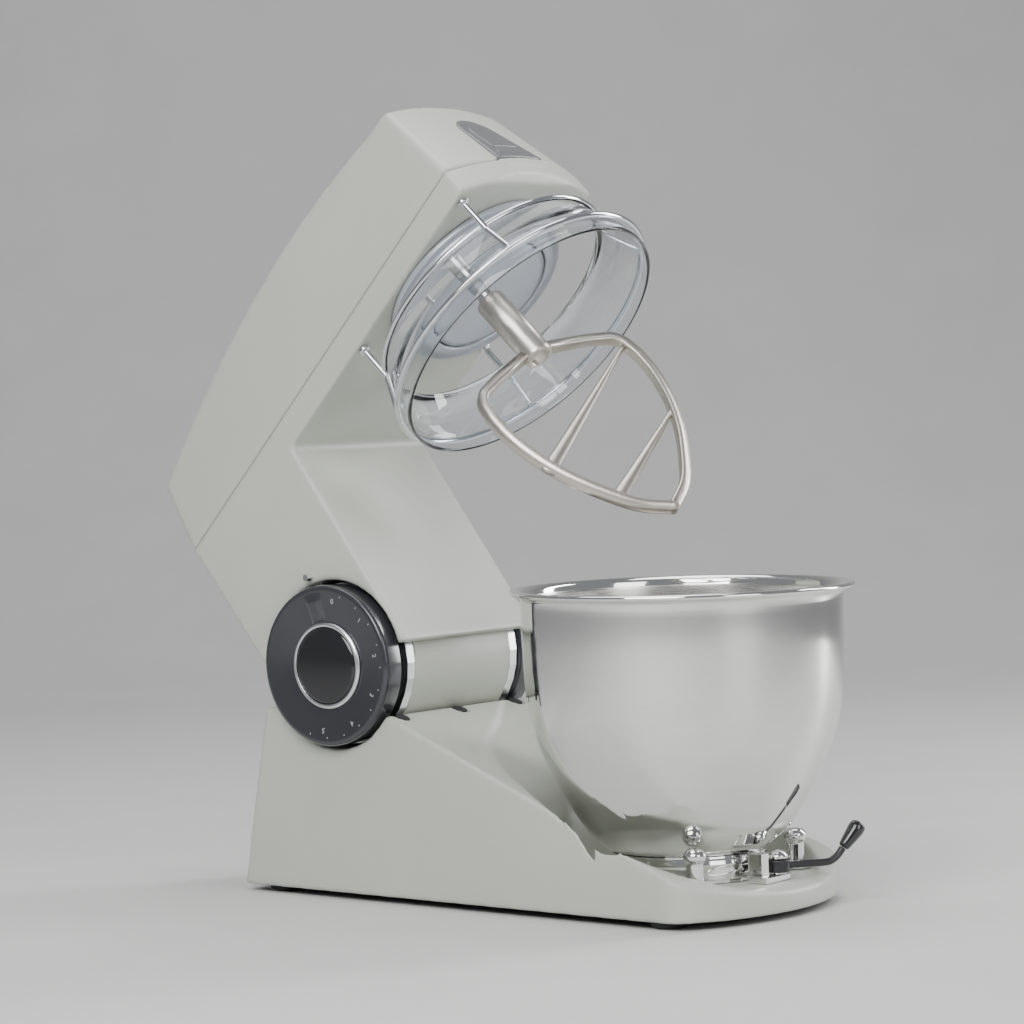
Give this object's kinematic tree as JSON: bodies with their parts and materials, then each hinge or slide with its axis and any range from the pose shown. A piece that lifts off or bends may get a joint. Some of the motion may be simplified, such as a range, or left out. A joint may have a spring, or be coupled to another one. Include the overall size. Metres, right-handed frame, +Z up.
{
  "type": "stand mixer",
  "caption": "Tilt-head planetary stand mixer with a steel bowl, wire guard with a clear splash band, flat beater, speed dial on the hinge and a cam clamp.",
  "frame": {"origin": "Centre of the bounding box on the table top, under the middle of the machine with its head open.", "axes": "+Z is up, -Y is the front where the bowl stands, +Y is the rear, and the speed dial is on the -X side."},
  "size_m": [0.238, 0.5426, 0.5612],
  "materials": {
    "cream_paint": "satin",
    "polished_steel": "polished",
    "satin_steel": "satin",
    "brushed_aluminium": "satin",
    "satin_casting": "satin",
    "graphite_plastic": "gloss",
    "black_plastic": "gloss",
    "black_rubber": "matte",
    "clear_plastic": "polished",
    "bronze": "satin",
    "copper_winding": "satin",
    "circuit_board": "satin"
  },
  "bodies": {
    "base": {"base_shell": "cream_paint", "base_plate": "black_rubber", "foot_1": "black_rubber", "foot_2": "black_rubber", "foot_3": "black_rubber", "foot_4": "black_rubber", "hinge_drum": "cream_paint", "drum_bush_left": "bronze", "drum_bush_right": "bronze", "head_bumper_left": "black_rubber", "head_bumper_middle": "black_rubber", "head_bumper_right": "black_rubber", "power_inlet": "black_plastic", "bowl_seat": "polished_steel", "seat_post_left": "polished_steel", "seat_post_right": "polished_steel", "clamp_bracket": "polished_steel"},
    "clamp": {"clamp_lever": "black_plastic", "clamp_knob": "black_plastic"},
    "bowl": {"bowl": "polished_steel", "bowl_foot_ring": "polished_steel"},
    "arm": {"arm_chassis": "cream_paint", "head_cover": "cream_paint", "pointer_pin": "polished_steel", "bearing_plate_left": "brushed_aluminium", "bearing_plate_right": "brushed_aluminium", "seal_ring_left": "black_rubber", "seal_ring_right": "black_rubber", "hinge_shaft": "satin_steel", "hinge_cap_right": "graphite_plastic", "planetary_housing": "satin_casting", "ring_gear": "satin_steel", "lower_bearing": "satin_steel", "upper_bearing": "satin_steel", "gearbox_frame": "satin_casting", "drive_belt": "black_rubber", "motor_can": "satin_casting", "control_board": "circuit_board"},
    "nose_cap": {"hub_cover": "graphite_plastic"},
    "dial": {"dial_body": "graphite_plastic", "dial_trim": "brushed_aluminium", "dial_cap": "black_plastic", "dial_spindle": "satin_steel"},
    "carrier": {"planet_carrier": "satin_casting", "carrier_pulley": "black_plastic"},
    "spindle": {"planet_pinion": "satin_steel", "beater_spindle": "satin_steel", "spindle_pin": "satin_steel"},
    "motor": {"motor_rotor": "copper_winding", "motor_pulley": "satin_steel", "motor_fan": "black_plastic"},
    "beater": {"beater": "satin_steel"},
    "guard": {"guard_frame": "polished_steel", "guard_shield": "clear_plastic"}
  },
  "joints": [
    {"name": "clamp_turn", "type": "hinge", "parent": "base", "child": "clamp", "pos_m": [0.005, -0.22183, 0.032], "axis": [0, 0, -1], "range_deg": [0, 60]},
    {"name": "bowl_lift", "type": "slide", "parent": "base", "child": "bowl", "axis": [0, 0, -1], "range_m": [-0.03, 0]},
    {"name": "head_tilt", "type": "hinge", "parent": "base", "child": "arm", "pos_m": [0, 0.09867, 0.167], "axis": [1, 0, 0], "range_deg": [0, 46.5]},
    {"name": "nose_cap_pull", "type": "slide", "parent": "arm", "child": "nose_cap", "axis": [0, -0.6884, 0.7254], "range_m": [0, 0.03]},
    {"name": "dial_turn", "type": "hinge", "parent": "arm", "child": "dial", "pos_m": [-0.076, 0.09867, 0.167], "axis": [-1, 0, 0], "range_deg": [0, 270]},
    {"name": "planetary_spin", "type": "hinge", "parent": "arm", "child": "carrier", "pos_m": [0, 0.02512, 0.43772], "axis": [0, 0.7254, 0.6884], "continuous": true},
    {"name": "spindle_spin", "type": "hinge", "parent": "carrier", "child": "spindle", "pos_m": [-0.02752, -0.00718, 0.42818], "axis": [0, 0.7254, 0.6884], "continuous": true},
    {"name": "motor_spin", "type": "hinge", "parent": "arm", "child": "motor", "pos_m": [0, 0.16756, 0.25857], "axis": [0, 0.7254, 0.6884], "continuous": true},
    {"name": "beater_pull", "type": "slide", "parent": "spindle", "child": "beater", "axis": [0, 0.7254, 0.6884], "range_m": [-0.048, 0]},
    {"name": "guard_pull", "type": "slide", "parent": "arm", "child": "guard", "axis": [0, 0.7254, 0.6884], "range_m": [-0.03, 0]}
  ],
  "couplings": [
    {"joint": "spindle_spin", "follows": "planetary_spin", "ratio": -3},
    {"joint": "motor_spin", "follows": "planetary_spin", "ratio": 3}
  ]
}
